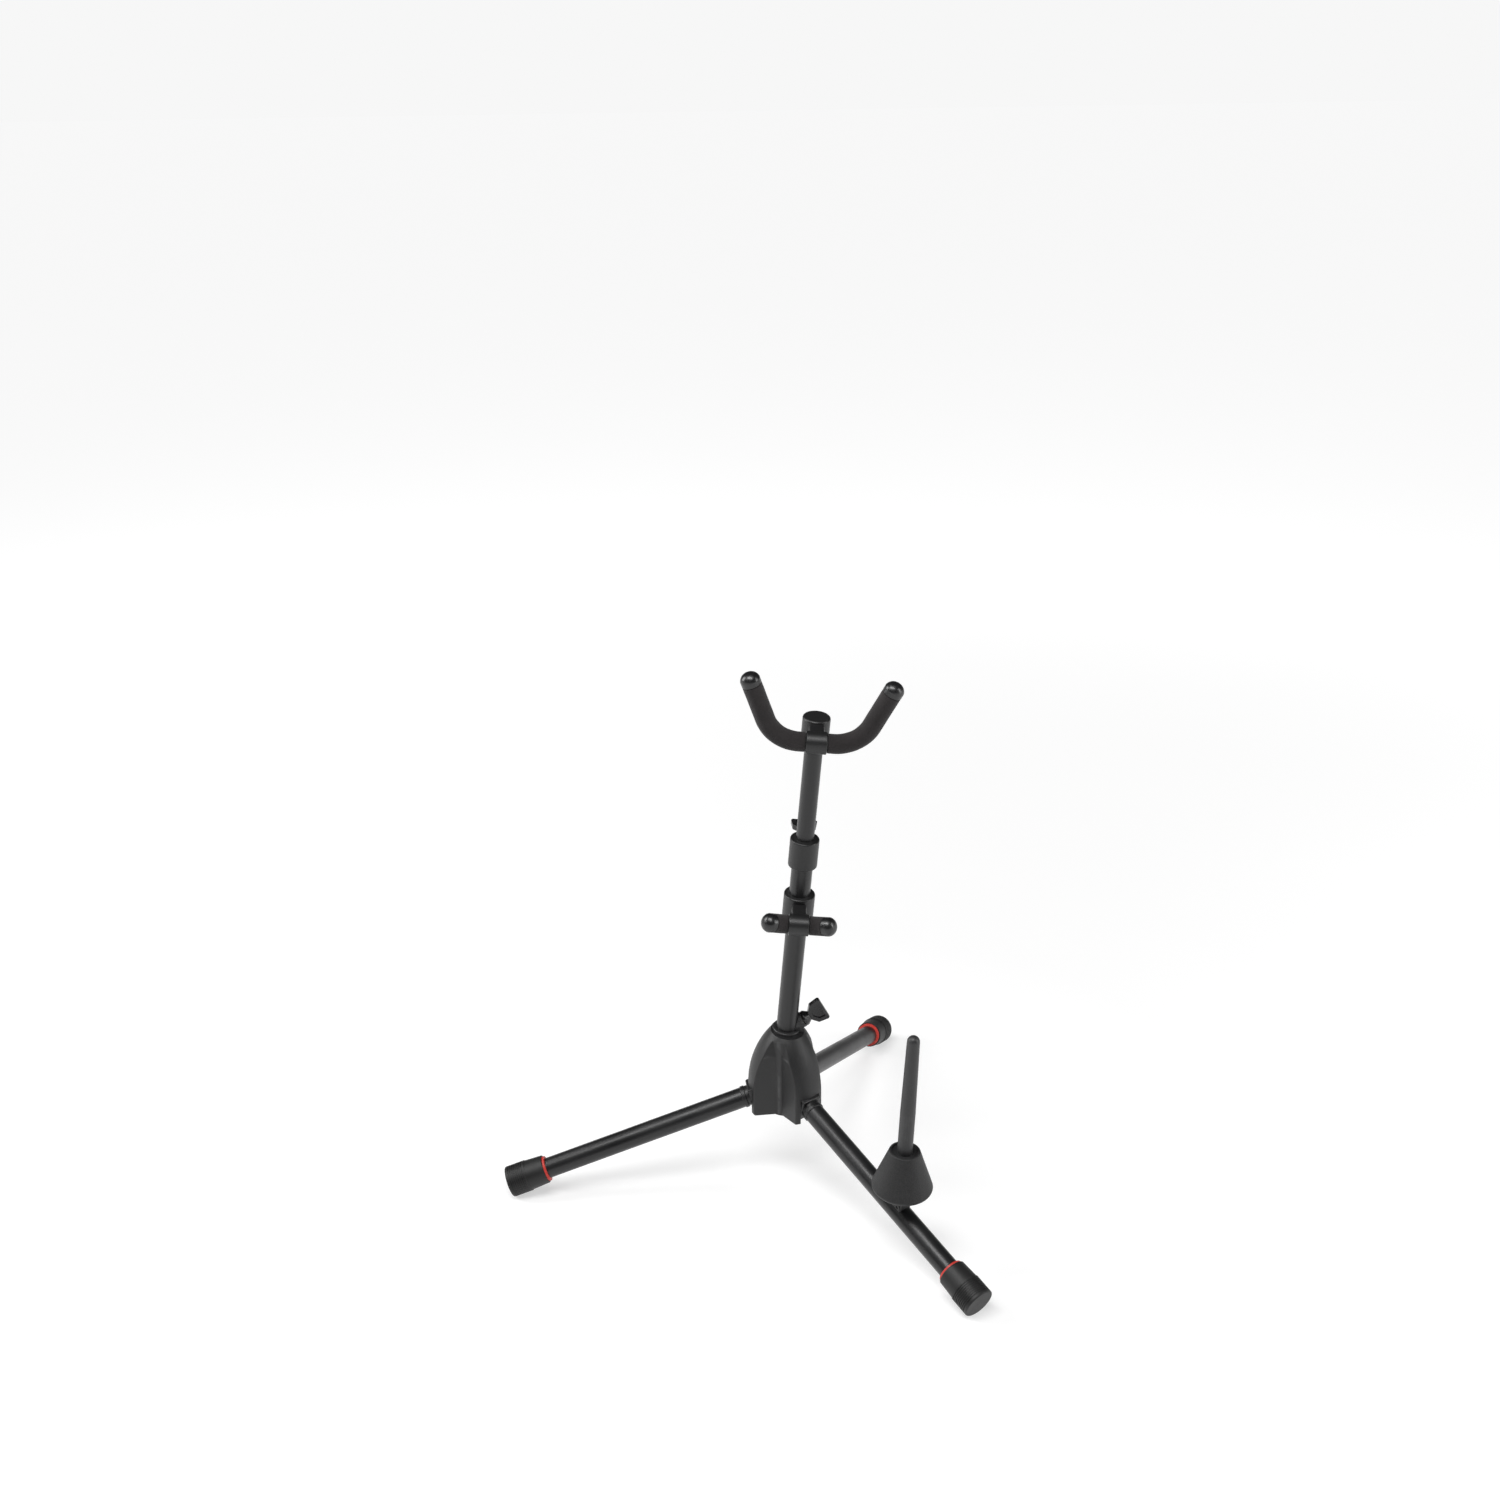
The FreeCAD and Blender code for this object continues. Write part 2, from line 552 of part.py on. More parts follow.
def post_collar():
    """Clamp collar on the outer tube's top, with a boss for its screw."""
    collar = cylinder(COLLAR_OUT_R, COLLAR_HIGH - COLLAR_LOW, vector(0, 0, COLLAR_LOW))
    collar = fillet(collar, 1.5, lambda edge: edge.Length > 30)
    boss = cylinder(5.6, 10.0, vector(-UPPER_POST_R, 0, COLLAR_SCREW_HEIGHT), X_AXIS * -1)
    collar = collar.fuse(boss)
    seat = cylinder(POST_R, LOWER_POST_TOP - COLLAR_LOW, vector(0, 0, COLLAR_LOW))
    bore = cylinder(UPPER_POST_R + FIT_GAP, 60, vector(0, 0, COLLAR_LOW))
    screw = cylinder(SCREW_R + FIT_GAP, 20, vector(-4, 0, COLLAR_SCREW_HEIGHT), X_AXIS * -1)
    return placed(collar.cut([seat, bore, screw]), post_frame())


def cradle_bracket():
    """Split clamp round the outer tube, with two ears behind it."""
    half_height = 12.0
    ring = cylinder(14.0, 2 * half_height, vector(0, 0, CRADLE_HEIGHT - half_height))
    ring = fillet(ring, 1.5, lambda edge: edge.Length > 30)
    ears = block((-24.0, 0), (-7.0, 7.0), (CRADLE_HEIGHT - 8.0, CRADLE_HEIGHT + 8.0))
    ears = fillet(ears, 2.0, lambda edge: box_of(edge).XMax < -23.9)
    barrel, bore = rest_barrel(CRADLE_HEIGHT, CRADLE_REACH)
    post = cylinder(POST_R, 60, vector(0, 0, CRADLE_HEIGHT - 30))
    split = block((-30.0, -POST_R + 1), (-0.8, 0.8), (CRADLE_HEIGHT - 20, CRADLE_HEIGHT + 20))
    bolt = cylinder(2.1, 30, vector(-18.5, -15, CRADLE_HEIGHT), Y_AXIS)
    return placed(ring.fuse([ears, barrel]).cut([bore, post, split, bolt]), post_frame())


def cap_screw(start, axis, length):
    """Socket-head screw: head outside, shank along the axis."""
    head = cylinder(3.6, 4.0, start - axis * 4.0, axis)
    head = fillet(head, 0.5, lambda edge: True)
    socket = cylinder(1.5, 2.0, start - axis * 4.0, axis)
    return head.fuse(cylinder(2.0, length, start, axis)).cut(socket)


def cradle_bolt():
    start = vector(-18.5, -7.0, CRADLE_HEIGHT)
    bolt = cap_screw(start, Y_AXIS, 16.5)
    nut = tube(3.8, 2.0, 3.0, vector(-18.5, 7.0, CRADLE_HEIGHT), Y_AXIS)
    return placed(bolt.fuse(nut), post_frame())


def yoke_bracket():
    """Cap over the inner tube's top, with the barrel in front."""
    low = YOKE_HEIGHT - 20.0
    high = UPPER_POST_TOP + 4.5
    socket = cylinder(12.0, high - low, vector(0, 0, low))
    socket = fillet(socket, 2.0, lambda edge: edge.Length > 30)
    barrel, bore = rest_barrel(YOKE_HEIGHT, YOKE_REACH)
    post = cylinder(UPPER_POST_R, UPPER_POST_TOP - low, vector(0, 0, low))
    screw = cylinder(2.0, 20, vector(-14.0, 0, YOKE_HEIGHT - 8), X_AXIS)
    return placed(socket.fuse(barrel).cut([bore, post, screw]), post_frame())


def yoke_screw():
    """Screw through the bracket's back, into the inner tube."""
    return placed(cap_screw(vector(-12.0, 0, YOKE_HEIGHT - 8), X_AXIS, 5.2), post_frame())


# ---- Flute peg ----
def peg_saddle():
    """Block between the cone and the leg tube, hollowed to fit the tube's top."""
    leg = leg_frame(POST_LEAN_AZIMUTH)
    width = (-SADDLE_HALF_WIDTH, SADDLE_HALF_WIDTH)
    saddle = block(SADDLE_ALONG, width, (2.0, 45.0))
    saddle = fillet(saddle, 1.2, lambda edge: box_of(edge).ZLength > 40)
    under_cone = cylinder(40.0, 60.0, vector(0, 0, -CONE_LIP_DROP - 0.3 - 60.0))
    saddle = placed(saddle, leg).common(placed(under_cone, peg_frame()))
    tube_room = placed(cylinder(TUBE_R, 200, vector(50, 0, 0), X_AXIS), leg)
    stud_room = placed(cylinder(PEG_STUD_R, 14.0, vector(0, 0, -14.0)), peg_frame())
    pin_room = placed(cylinder(SADDLE_PIN_R, 5.0, saddle_pin_start(), Y_AXIS * -1), leg)
    return saddle.cut([tube_room, stud_room, pin_room])


def saddle_pin_start():
    return vector(SADDLE_PIN_ALONG, SADDLE_PIN_DEPTH - SADDLE_HALF_WIDTH, SADDLE_PIN_HEIGHT)


def saddle_pin():
    """Round hollow stud in the saddle's side, a little proud of it."""
    pin = cylinder(SADDLE_PIN_R, SADDLE_PIN_DEPTH + 0.7, saddle_pin_start(), Y_AXIS * -1)
    pin = fillet(pin, 0.4, lambda edge: box_of(edge).YMax < -SADDLE_HALF_WIDTH)
    bore = cylinder(SADDLE_PIN_BORE_R, 5.0, vector(SADDLE_PIN_ALONG, -SADDLE_HALF_WIDTH,
                                                   SADDLE_PIN_HEIGHT), Y_AXIS * -1)
    return placed(pin.cut(bore), leg_frame(POST_LEAN_AZIMUTH))


def peg_stud():
    return placed(cylinder(PEG_STUD_R, 26.0, vector(0, 0, -14.0)), peg_frame())


def peg_cone():
    """Hollow cone whose top carries the flute's end ring in a shallow recess."""
    lip_flank = vector(CONE_R - 0.9, 0, -2.6)
    lip = vector(CONE_LIP_R, 0, -CONE_LIP_DROP)
    low = vector(0, 0, -CONE_LIP_DROP)
    top = vector(0, 0, CONE_HEIGHT)
    outline = [Part.makeLine(low, lip),
               Part.Arc(lip, lip_flank, vector(CONE_R, 0, 0)).toShape(),
               Part.makeLine(vector(CONE_R, 0, 0), vector(CONE_TOP_R, 0, CONE_HEIGHT)),
               Part.makeLine(vector(CONE_TOP_R, 0, CONE_HEIGHT), top),
               Part.makeLine(top, low)]
    outer = turned(outline)
    outer = fillet(outer, 1.2, lambda edge: box_of(edge).ZMin > CONE_HEIGHT - 0.1)
    slant = math.hypot(CONE_R - CONE_TOP_R, CONE_HEIGHT)
    inset = CONE_WALL * slant / CONE_HEIGHT
    ceiling = CONE_HEIGHT - CONE_RECESS - CONE_WALL
    narrowing = (CONE_R - CONE_TOP_R) / CONE_HEIGHT
    hollow = turned(polygon_edges([low + Z_AXIS * -1,
                                   vector(CONE_LIP_R - CONE_WALL, 0, -CONE_LIP_DROP - 1),
                                   vector(CONE_LIP_R - CONE_WALL, 0, 0),
                                   vector(CONE_R - inset - 4 * narrowing, 0, 4),
                                   vector(CONE_R - inset - ceiling * narrowing, 0, ceiling),
                                   vector(0, 0, ceiling)]))
    core = cylinder(PEG_ROOT_R + 3.5, CONE_HEIGHT - 12.0, vector(0, 0, 8.0))
    recess = cylinder(CONE_TOP_R - 1.9, CONE_RECESS, vector(0, 0, CONE_HEIGHT - CONE_RECESS))
    rod = cylinder(PEG_ROOT_R, CONE_HEIGHT, vector(0, 0, PEG_ROD_START))
    stud = cylinder(PEG_STUD_R + FIT_GAP, 30, vector(0, 0, -8.0))
    cone = outer.cut(hollow).fuse(core)
    return placed(cone.cut([recess, rod, stud]), peg_frame())


def peg_base():
    """Floor of the cone, just above the saddle."""
    disc = cylinder(CONE_LIP_R - CONE_WALL, 3.0, vector(0, 0, -CONE_LIP_DROP))
    boss = cylinder(PEG_ROOT_R + 3.5, 9.2, vector(0, 0, 3.0 - CONE_LIP_DROP))
    stud = cylinder(PEG_STUD_R + FIT_GAP, 40, vector(0, 0, -10.0))
    return placed(disc.fuse(boss).cut(stud), peg_frame())


def peg_rod():
    """Round peg that goes up inside the flute: straight, then tapered to a round tip."""
    shoulder = CONE_HEIGHT + PEG_STRAIGHT
    top = CONE_HEIGHT + PEG_ROD_HEIGHT
    dome_side = top - PEG_TIP_R * (1 - math.sin(math.pi / 4))
    seat = CONE_HEIGHT - CONE_RECESS
    outline = [Part.makeLine(vector(0, 0, PEG_ROD_START), vector(PEG_ROOT_R, 0, PEG_ROD_START)),
               Part.makeLine(vector(PEG_ROOT_R, 0, PEG_ROD_START), vector(PEG_ROOT_R, 0, seat)),
               Part.makeLine(vector(PEG_ROOT_R, 0, seat), vector(PEG_ROD_R, 0, seat)),
               Part.makeLine(vector(PEG_ROD_R, 0, seat), vector(PEG_ROD_R, 0, shoulder)),
               Part.makeLine(vector(PEG_ROD_R, 0, shoulder), vector(PEG_TIP_R, 0, top - PEG_TIP_R)),
               Part.Arc(vector(PEG_TIP_R, 0, top - PEG_TIP_R),
                        vector(PEG_TIP_R * math.cos(math.pi / 4), 0, dome_side),
                        vector(DOME_FLAT_R, 0, top)).toShape(),
               Part.makeLine(vector(DOME_FLAT_R, 0, top), vector(0, 0, top)),
               Part.makeLine(vector(0, 0, top), vector(0, 0, PEG_ROD_START))]
    return placed(turned(outline), peg_frame())


# ---- Assembly ----
def sub_parts():
    parts = {"hub_body": hub_body(), "post_bushing": post_bushing(),
             "leg_pivot_pins": pivot_pins(), "clamp_insert": clamp_insert(),
             "hub_wing_knob": wing_knob(clamp_frame(), CLAMP_BOSS_END + KNOB_GAP),
             "hub_knob_screw": knob_screw(clamp_frame(), SCREW_START, CLAMP_BOSS_END + KNOB_GAP)}
    for name, azimuth in zip(LEG_NAMES, leg_azimuths()):
        frame = leg_frame(azimuth)
        parts["leg_joint_" + name] = placed(leg_joint(), frame)
        parts["leg_tube_" + name] = placed(leg_tube(), frame)
        parts["foot_cap_" + name] = placed(foot_cap(), frame)
        parts["foot_ring_" + name] = placed(foot_ring(), frame)
    parts["lower_post_tube"] = lower_post()
    parts["post_collar"] = post_collar()
    parts["collar_wing_knob"] = wing_knob(collar_screw_frame(), COLLAR_SEAT)
    parts["collar_knob_screw"] = knob_screw(collar_screw_frame(), 0.3, COLLAR_SEAT)
    parts["cradle_bracket"] = cradle_bracket()
    parts["cradle_bolt"] = cradle_bolt()
    parts["upper_post_tube"] = upper_post()
    parts["upper_post_plug"] = upper_post_plug()
    parts["yoke_bracket"] = yoke_bracket()
    parts["yoke_screw"] = yoke_screw()
    rests = (("cradle", CRADLE_ARM, rest_frame(CRADLE_HEIGHT, CRADLE_REACH, CRADLE_TILT)),
             ("yoke", YOKE_ARM, rest_frame(YOKE_HEIGHT, YOKE_REACH, YOKE_TILT)))
    for name, arm, frame in rests:
        parts[name + "_rod"] = rest_rod(arm, frame)
        for side, left in (("right", False), ("left", True)):
            parts[name + "_foam_" + side] = foam_sleeve(arm, frame, left)
            parts[name + "_cap_" + side] = end_cap(arm, frame, left)
    parts["peg_saddle"] = peg_saddle()
    parts["saddle_pin"] = saddle_pin()
    parts["peg_stud"] = peg_stud()
    parts["peg_cone"] = peg_cone()
    parts["peg_base"] = peg_base()
    parts["peg_rod"] = peg_rod()
    return parts


os.makedirs("parts", exist_ok=True)
for node, shape in sub_parts().items():
    if not shape.isValid():
        raise ValueError(node + " is not a valid shape")
    shape.exportStep("parts/" + node + ".step")
    print(node, round(shape.Volume), "mm3", len(shape.Solids), "solid(s)")
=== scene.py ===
import json
import math

import bmesh
import bpy
from mathutils import Matrix, Vector, noise


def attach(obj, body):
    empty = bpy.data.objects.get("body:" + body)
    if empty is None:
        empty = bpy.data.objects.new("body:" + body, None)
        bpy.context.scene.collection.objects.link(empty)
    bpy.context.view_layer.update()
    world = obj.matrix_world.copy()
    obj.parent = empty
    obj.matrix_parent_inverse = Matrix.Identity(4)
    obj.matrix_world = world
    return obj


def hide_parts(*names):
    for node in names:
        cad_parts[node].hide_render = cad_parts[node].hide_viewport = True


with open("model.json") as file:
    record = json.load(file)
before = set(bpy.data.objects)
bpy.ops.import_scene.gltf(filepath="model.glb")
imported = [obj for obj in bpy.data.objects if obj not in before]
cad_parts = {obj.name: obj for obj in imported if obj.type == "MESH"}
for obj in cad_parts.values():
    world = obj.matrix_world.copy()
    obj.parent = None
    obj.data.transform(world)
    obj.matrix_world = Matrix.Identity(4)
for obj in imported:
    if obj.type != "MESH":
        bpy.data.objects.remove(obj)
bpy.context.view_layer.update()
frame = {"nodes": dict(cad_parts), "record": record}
NODES = frame["nodes"]

# ---- Dimensions of the post and the rests, as in the CAD ----
MM = 0.001
HUB_TOP = 158.0 * MM
POST_LEAN = math.radians(8.0)
POST_LEAN_AZIMUTH = math.radians(306.3)
FACING = math.radians(-91.0)
FOAM_R = 8.4 * MM
ROD_R = 4.0 * MM
FOAM_START = 9.2 * MM

# ---- Make-up of a foam sleeve ----
RING_STEP = 0.55 * MM
SIDES = 72
BORE_RINGS = 24
END_CROWDING = 0.85             # how much closer the rings sit near the ends
END_ROUNDING = 1.1 * MM
BEND_SPREAD = 0.45              # of the bend's length, for the squeeze
SQUEEZE = 0.10                  # mm, inside the bend
CREASE = 0.05                   # mm, added by each crease there
CREASE_PITCH = 2.6 * MM
UNEVENNESS = 0.13 * MM

# ---- Stage and light levels ----
FLOOR_HALF_SIZE = 60.0
FLOOR_GLOW = 0.54             # under the stand
FAR_FLOOR_GLOW = 0.90         # where no lamp reaches the floor
ROOM_LEVEL = 0.06
BACKDROP_LEVEL = 0.93


class Rest:
    """A padded U: its arm's shape and where it sits on the post."""

    def __init__(self, name, body, arm, tilt, reach, height):
        self.name = name
        self.body = body
        self.flat, self.bend, self.straight = (arm[i] * MM for i in (0, 1, 3))
        self.angle = math.radians(arm[2])
        self.tilt = math.radians(tilt)
        self.reach = reach * MM
        self.height = height * MM


RESTS = (
    Rest("yoke", "upper_post", (14.5, 32.0, 67.5, 35.0), 85.0, 29.5, 316.5),
    Rest("cradle", "lower_post", (9.5, 20.0, 35.0, 2.3), 34.0, 33.8, 138.0),
)


# ---- Node helpers ----
class Shader:
    """A small wrapper that builds one node material."""

    def __init__(self, name):
        self.material = bpy.data.materials.new(name)
        self.material.use_nodes = True
        self.tree = self.material.node_tree
        self.bsdf = self.tree.nodes["Principled BSDF"]
        coord = self.tree.nodes.new("ShaderNodeTexCoord")
        self.place = coord.outputs["Object"]

    def node(self, kind, **settings):
        made = self.tree.nodes.new(kind)
        for key, value in settings.items():
            setattr(made, key, value)
        return made

    def link(self, source, target):
        self.tree.links.new(source, target)

    def noise(self, scale, detail=4.0, roughness=0.5, vector=None):
        made = self.node("ShaderNodeTexNoise")
        made.inputs["Scale"].default_value = scale
        made.inputs["Detail"].default_value = detail
        made.inputs["Roughness"].default_value = roughness
        self.link(vector or self.place, made.inputs["Vector"])
        return made.outputs["Fac"]

    def voronoi(self, scale):
        made = self.node("ShaderNodeTexVoronoi")
        made.inputs["Scale"].default_value = scale
        self.link(self.place, made.inputs["Vector"])
        return made.outputs["Distance"]

    def remap(self, source, low, high, out_low, out_high):
        made = self.node("ShaderNodeMapRange")
        for key, value in (("From Min", low), ("From Max", high),
                           ("To Min", out_low), ("To Max", out_high)):
            made.inputs[key].default_value = value
        self.link(source, made.inputs["Value"])
        return made.outputs["Result"]

    def math(self, operation, a, b):
        made = self.node("ShaderNodeMath", operation=operation)
        for socket, value in zip(made.inputs, (a, b)):
            if isinstance(value, (int, float)):
                socket.default_value = value
            else:
                self.link(value, socket)
        return made.outputs["Value"]

    def colours(self, factor, dark, light):
        made = self.node("ShaderNodeMix", data_type="RGBA")
        made.inputs[6].default_value = (*dark, 1.0)
        made.inputs[7].default_value = (*light, 1.0)
        self.link(factor, made.inputs["Factor"])
        return made.outputs[2]

    def bump(self, height, distance, strength, below=None):
        made = self.node("ShaderNodeBump")
        made.inputs["Strength"].default_value = strength
        made.inputs["Distance"].default_value = distance
        self.link(height, made.inputs["Height"])
        if below is not None:
            self.link(below, made.inputs["Normal"])
        return made.outputs["Normal"]

    def set(self, **values):
        for key, value in values.items():
            self.bsdf.inputs[key.replace("_", " ")].default_value = value

    def wear_edges(self, colour, worn, low=0.53, high=0.60, patchiness=90.0):
        """Lightens a colour along convex edges, in patches."""
        geometry = self.node("ShaderNodeNewGeometry")
        edge = self.remap(geometry.outputs["Pointiness"], low, high, 0.0, 1.0)
        patch = self.remap(self.noise(patchiness, 3.0), 0.45, 0.65, 0.25, 1.0)
        mix = self.node("ShaderNodeMix", data_type="RGBA")
        self.link(self.math("MULTIPLY", edge, patch), mix.inputs["Factor"])
        self.link(colour, mix.inputs[6])
        mix.inputs[7].default_value = (*worn, 1.0)
        return mix.outputs[2]


def plastic(name, dark, light, grain, grain_depth, rough, specular=0.5, worn=None):
    """Moulded plastic: fine spark-eroded grain over a faint, broad unevenness."""
    s = Shader(name)
    broad = s.noise(14.0, 3.0)
    fine = s.noise(grain, 2.0, 0.65)
    colour = s.colours(s.remap(fine, 0.35, 0.65, 0.0, 1.0), dark, light)
    if worn:
        colour = s.wear_edges(colour, worn)
    s.link(colour, s.bsdf.inputs["Base Color"])
    mixed = s.math("ADD", s.remap(broad, 0.3, 0.7, -0.03, 0.03),
                   s.remap(fine, 0.3, 0.7, rough - 0.04, rough + 0.04))
    s.link(mixed, s.bsdf.inputs["Roughness"])
    s.set(Specular_IOR_Level=specular)
    grain_normal = s.bump(fine, grain_depth, 0.9)
    s.link(s.bump(broad, 0.0004, 0.25, grain_normal), s.bsdf.inputs["Normal"])
    return s.material


def powder_coat():
    """Black satin powder coat: orange peel, specks of dust, faint rub marks."""
    s = Shader("powder_coat_black")
    peel = s.noise(520.0, 2.0, 0.4)
    speck = s.voronoi(900.0)
    rub = s.noise(26.0, 5.0, 0.6)
    colour = s.colours(s.remap(rub, 0.35, 0.7, 0.0, 1.0), (0.0065, 0.0065, 0.007),
                       (0.011, 0.011, 0.0115))
    s.link(colour, s.bsdf.inputs["Base Color"])
    s.link(s.remap(rub, 0.3, 0.7, 0.30, 0.42), s.bsdf.inputs["Roughness"])
    s.set(Specular_IOR_Level=0.5)
    low = s.bump(s.remap(speck, 0.0, 0.35, 1.0, 0.0), 0.00005, 0.35)
    s.link(s.bump(peel, 0.00012, 0.55, low), s.bsdf.inputs["Normal"])
    return s.material


def foam_skin():
    """Closed-cell foam with a fine pored skin, painted shade in the pore dips and slight colour
    mottling.
    """
    s = Shader("foam_charcoal")
    cells = s.voronoi(1500.0)
    fine = s.noise(2400.0, 2.0, 0.6)
    mottle = s.noise(60.0, 4.0, 0.6)
    pore_depth_and_shade = s.remap(cells, 0.0, 0.55, 0.0, 1.0)
    # Colour is darker in the pore dips (painted shade in the pores), mixed with real colour
    # mottling.
    pore_shade_and_mottle = s.math("ADD", s.math("MULTIPLY", pore_depth_and_shade, 0.6),
                   s.remap(mottle, 0.3, 0.7, 0.0, 0.4))
    colour = s.colours(pore_shade_and_mottle, (0.0085, 0.0072, 0.0074), (0.0190, 0.0162, 0.0166))
    s.link(colour, s.bsdf.inputs["Base Color"])
    s.link(s.remap(fine, 0.3, 0.7, 0.82, 0.97), s.bsdf.inputs["Roughness"])
    s.set(Specular_IOR_Level=0.28, Sheen_Weight=0.12, Sheen_Roughness=0.5)
    cell_normal = s.bump(pore_depth_and_shade, 0.00022, 0.7)
    soft = s.bump(fine, 0.00010, 0.6, cell_normal)
    s.link(s.bump(mottle, 0.0006, 0.22, soft), s.bsdf.inputs["Normal"])
    return s.material


def rubber(name, dark, light, rough, scuffed):
    """Moulded rubber with a dry bloom and light scuffs."""
    s = Shader(name)
    bloom = s.noise(45.0, 6.0, 0.62)
    fine = s.noise(1400.0, 2.0, 0.6)
    colour = s.colours(s.remap(bloom, 0.32, 0.68, 0.0, 1.0), dark, light)
    colour = s.wear_edges(colour, scuffed, 0.55, 0.64, 120.0)
    s.link(colour, s.bsdf.inputs["Base Color"])
    s.link(s.remap(bloom, 0.3, 0.7, rough - 0.06, rough + 0.08), s.bsdf.inputs["Roughness"])
    s.set(Specular_IOR_Level=0.45)
    fine_normal = s.bump(fine, 0.00006, 0.6)
    s.link(s.bump(bloom, 0.0003, 0.2, fine_normal), s.bsdf.inputs["Normal"])
    return s.material


def metal(name, dark, light, rough, grain):
    """Turned or plated metal: fine lathe grain and small stains."""
    s = Shader(name)
    stretch = s.node("ShaderNodeMapping")
    stretch.inputs["Scale"].default_value = (grain, grain, grain * 6.0)
    s.link(s.place, stretch.inputs["Vector"])
    lines = s.noise(1.0, 3.0, 0.7, stretch.outputs["Vector"])
    stain = s.noise(160.0, 4.0)
    colour = s.colours(s.remap(stain, 0.35, 0.7, 0.0, 1.0), dark, light)
    s.link(colour, s.bsdf.inputs["Base Color"])
    s.set(Metallic=1.0)
    s.link(s.remap(lines, 0.3, 0.7, rough - 0.07, rough + 0.1), s.bsdf.inputs["Roughness"])
    s.link(s.bump(lines, 0.00004, 0.5), s.bsdf.inputs["Normal"])
    return s.material


def make_materials():
    return {
        "powder_coat": powder_coat(),
        "hub_plastic": plastic("hub_charcoal", (0.0062, 0.0063, 0.0066), (0.0112, 0.0112, 0.0116),
                               1500.0, 0.00012, 0.47, 0.5, (0.05, 0.05, 0.051)),
        "joint_plastic": plastic("joint_black", (0.0055, 0.0055, 0.0058), (0.009, 0.009, 0.0093),
                                 1300.0, 0.00008, 0.42, 0.5, (0.035, 0.035, 0.036)),
        "bushing_plastic": plastic("bushing_charcoal", (0.012, 0.012, 0.0124),
                                   (0.018, 0.018, 0.0186), 1100.0, 0.00004, 0.36, 0.5,
                                   (0.09, 0.09, 0.092)),
        "foot_rubber": rubber("foot_rubber_black", (0.0062, 0.0062, 0.0062),
                              (0.0105, 0.0104, 0.0104), 0.50, (0.04, 0.04, 0.04)),
        "ring_rubber": rubber("ring_red", (0.50, 0.030, 0.022), (0.60, 0.045, 0.032),
                              0.48, (0.68, 0.12, 0.09)),
        "cap_plastic": plastic("cap_gloss_black", (0.0045, 0.0045, 0.005),
                               (0.0065, 0.0065, 0.007), 420.0, 0.00002, 0.32, 0.6),
        "knob_plastic": plastic("knob_black", (0.0045, 0.0045, 0.0050), (0.0075, 0.0075, 0.0082),
                                700.0, 0.00004, 0.24, 0.55, (0.03, 0.03, 0.032)),
        "foam": foam_skin(),
        "cone_plastic": plastic("cone_grain", (0.0075, 0.0076, 0.0079), (0.0200, 0.0200, 0.0205),
                                950.0, 0.00034, 0.56, 0.45, (0.055, 0.055, 0.056)),
        "peg_plastic": plastic("peg_grey", (0.018, 0.018, 0.0185), (0.027, 0.027, 0.028),
                               900.0, 0.00010, 0.46, 0.5, (0.06, 0.06, 0.062)),
        "screw_steel": metal("zinc_steel", (0.42, 0.43, 0.45), (0.58, 0.59, 0.62), 0.32, 380.0),
        "insert_brass": metal("turned_brass", (0.60, 0.43, 0.16), (0.72, 0.55, 0.25), 0.3, 420.0),
    }


def dress_cad_nodes(materials):
    slots = {part["node"]: part["material_slot"] for part in frame["record"]["subparts"]}
    for name, piece in NODES.items():
        if not piece.material_slots:
            piece.data.materials.append(None)
        for slot in piece.material_slots:
            slot.material = materials[slots[name]]


# ---- Foam sleeves ----
def post_axes():
    lean = Vector((math.sin(POST_LEAN) * math.cos(POST_LEAN_AZIMUTH),
                   math.sin(POST_LEAN) * math.sin(POST_LEAN_AZIMUTH), math.cos(POST_LEAN)))
    forward = Vector((math.cos(FACING), math.sin(FACING), 0.0))
    forward = (forward - lean * forward.dot(lean)).normalized()
    return forward, lean.cross(forward), lean


def rest_matrix(rest):
    """X sideways, Y up the U, Z square to it; the origin is the U's lowest middle."""
    forward, sideways, along = post_axes()
    up = forward * math.cos(rest.tilt) + along * math.sin(rest.tilt)
    base = Vector((0.0, 0.0, HUB_TOP)) + along * rest.height + forward * rest.reach
    turned = Matrix((sideways, up, sideways.cross(up))).transposed().to_4x4()
    return Matrix.Translation(base) @ turned


def arm_point(rest, travel):
    """Point and direction in the U's plane, at a distance from its middle."""
    arc = rest.bend * rest.angle
    if travel < rest.flat:
        return Vector((travel, 0.0, 0.0)), Vector((1.0, 0.0, 0.0))
    turn = min((travel - rest.flat) / rest.bend, rest.angle)
    point = Vector((rest.flat + rest.bend * math.sin(turn),
                    rest.bend * (1.0 - math.cos(turn)), 0.0))
    direction = Vector((math.cos(turn), math.sin(turn), 0.0))
    return point + direction * max(0.0, travel - rest.flat - arc), direction


def foam_radius(rest, travel, end, around, seed):
    """Soft sleeve: rounded ends, a slight squeeze in the bend, small unevenness."""
    edge = min(travel - FOAM_START, end - travel)
    drop = 0.0
    if edge < END_ROUNDING:
        run = max(0.0, END_ROUNDING ** 2 - (END_ROUNDING - edge) ** 2)
        drop = END_ROUNDING - math.sqrt(run)
    arc_start = rest.flat
    arc_end = rest.flat + rest.bend * rest.angle
    middle = (arc_start + arc_end) / 2
    in_bend = math.exp(-((travel - middle) / (BEND_SPREAD * (arc_end - arc_start))) ** 2)
    inner = max(0.0, math.sin(around))
    crease = 0.5 + 0.5 * math.cos((travel - middle) / CREASE_PITCH * math.pi)
    squeeze = in_bend * inner ** 3 * (SQUEEZE + CREASE * crease) * MM
    flow = Vector((travel * 120.0, math.cos(around) * 1.2, math.sin(around) * 1.2 + seed))
    uneven = noise.noise(flow) * UNEVENNESS
    return FOAM_R - drop - squeeze + uneven


